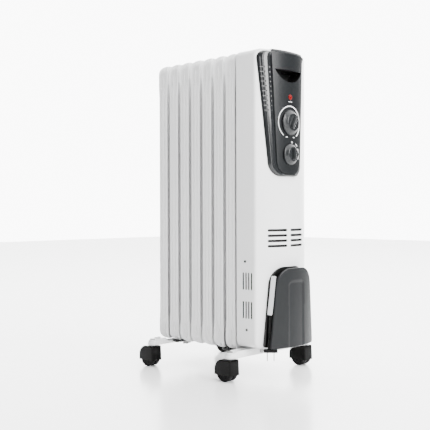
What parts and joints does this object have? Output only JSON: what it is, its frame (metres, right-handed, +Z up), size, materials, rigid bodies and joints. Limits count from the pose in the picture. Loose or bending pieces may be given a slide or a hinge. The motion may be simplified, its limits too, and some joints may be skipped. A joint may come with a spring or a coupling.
{
  "type": "oil filled radiator heater",
  "caption": "Portable column heater: oil filled fins behind a bowed housing with rotary controls, a front cord winder and swivel casters.",
  "frame": {"origin": "on the floor, at the middle of the footprint, cord and plug left out", "axes": "+Z up, -Y towards the side with the controls, +X to the right seen from the controls"},
  "size_m": [0.2504, 0.3234, 0.632],
  "materials": {
    "white_enamel": "satin",
    "zinc_steel": "satin",
    "element_sheath": "satin",
    "slate_gloss": "gloss",
    "slate_satin": "satin",
    "slate_knob": "satin",
    "black_satin": "satin",
    "red_lens": "gloss",
    "neon_glass": "gloss",
    "switch_resin": "matte",
    "cutoff_metal": "satin",
    "wire_sleeve": "matte",
    "cord_rubber": "matte",
    "blade_nickel": "satin",
    "tag_white": "matte",
    "caster_gloss": "gloss",
    "caster_tread": "satin",
    "print_white": "satin"
  },
  "bodies": {
    "root": {"fin_1": "white_enamel", "fin_2": "white_enamel", "fin_3": "white_enamel", "fin_4": "white_enamel", "fin_5": "white_enamel", "fin_6": "white_enamel", "fin_7": "white_enamel", "header_collars": "white_enamel", "header_caps": "white_enamel", "housing_cover": "white_enamel", "foot_front": "white_enamel", "foot_rear": "white_enamel", "element_flange": "zinc_steel", "flange_bolts": "zinc_steel", "housing_back_plate": "zinc_steel", "housing_brackets": "zinc_steel", "case_screws": "zinc_steel", "control_bracket": "zinc_steel", "u_bolts": "zinc_steel", "wing_nuts": "zinc_steel", "heating_element": "element_sheath", "control_base": "slate_gloss", "control_face": "slate_satin", "winder_cover": "slate_satin", "grip_pocket": "black_satin", "winder_base": "black_satin", "foot_saddles": "black_satin", "indicator_lens": "red_lens", "indicator_lamp": "neon_glass", "thermostat_body": "switch_resin", "mode_switch_body": "switch_resin", "tip_switch_case": "switch_resin", "terminal_block": "switch_resin", "thermal_cutoff": "cutoff_metal", "wiring_loom": "wire_sleeve", "cord_gland": "cord_rubber", "cord_coil": "cord_rubber", "cord_lead": "cord_rubber", "cord_tail": "cord_rubber", "plug_body": "cord_rubber", "plug_blades": "blade_nickel", "cord_label": "tag_white"},
    "thermostat_dial": {"thermostat_knob": "slate_knob", "thermostat_shaft": "zinc_steel"},
    "mode_dial": {"mode_knob": "slate_knob", "mode_shaft": "zinc_steel"},
    "tilt_pendulum": {"tip_switch_pendulum": "switch_resin"},
    "swivel_front_left": {"caster_hood_front_left": "caster_gloss", "caster_pins_front_left": "zinc_steel"},
    "wheel_front_left": {"caster_wheel_front_left": "caster_tread"},
    "swivel_front_right": {"caster_hood_front_right": "caster_gloss", "caster_pins_front_right": "zinc_steel"},
    "wheel_front_right": {"caster_wheel_front_right": "caster_tread"},
    "swivel_rear_left": {"caster_hood_rear_left": "caster_gloss", "caster_pins_rear_left": "zinc_steel"},
    "wheel_rear_left": {"caster_wheel_rear_left": "caster_tread"},
    "swivel_rear_right": {"caster_hood_rear_right": "caster_gloss", "caster_pins_rear_right": "zinc_steel"},
    "wheel_rear_right": {"caster_wheel_rear_right": "caster_tread"}
  },
  "joints": [
    {"name": "thermostat_turn", "type": "hinge", "parent": "root", "child": "thermostat_dial", "pos_m": [0, -0.15045, 0.4925], "axis": [0, 1, 0], "range_deg": [-176, 120]},
    {"name": "mode_turn", "type": "hinge", "parent": "root", "child": "mode_dial", "pos_m": [0, -0.15045, 0.4313], "axis": [0, 1, 0], "range_deg": [0, 99]},
    {"name": "tilt_swing", "type": "hinge", "parent": "root", "child": "tilt_pendulum", "pos_m": [0.045, -0.08445, 0.097], "axis": [0, 1, 0], "range_deg": [-18, 18]},
    {"name": "swivel_front_left_turn", "type": "hinge", "parent": "root", "child": "swivel_front_left", "pos_m": [-0.1119, -0.08845, 0.049], "axis": [0, 0, 1], "continuous": true},
    {"name": "wheel_front_left_spin", "type": "hinge", "parent": "swivel_front_left", "child": "wheel_front_left", "pos_m": [-0.1119, -0.08165, 0.0188], "axis": [1, 0, 0], "continuous": true},
    {"name": "swivel_front_right_turn", "type": "hinge", "parent": "root", "child": "swivel_front_right", "pos_m": [0.1119, -0.08845, 0.049], "axis": [0, 0, 1], "continuous": true},
    {"name": "wheel_front_right_spin", "type": "hinge", "parent": "swivel_front_right", "child": "wheel_front_right", "pos_m": [0.1119, -0.08165, 0.0188], "axis": [1, 0, 0], "continuous": true},
    {"name": "swivel_rear_left_turn", "type": "hinge", "parent": "root", "child": "swivel_rear_left", "pos_m": [-0.1119, 0.13255, 0.049], "axis": [0, 0, 1], "continuous": true},
    {"name": "wheel_rear_left_spin", "type": "hinge", "parent": "swivel_rear_left", "child": "wheel_rear_left", "pos_m": [-0.1119, 0.13935, 0.0188], "axis": [1, 0, 0], "continuous": true},
    {"name": "swivel_rear_right_turn", "type": "hinge", "parent": "root", "child": "swivel_rear_right", "pos_m": [0.1119, 0.13255, 0.049], "axis": [0, 0, 1], "continuous": true},
    {"name": "wheel_rear_right_spin", "type": "hinge", "parent": "swivel_rear_right", "child": "wheel_rear_right", "pos_m": [0.1119, 0.13935, 0.0188], "axis": [1, 0, 0], "continuous": true}
  ]
}
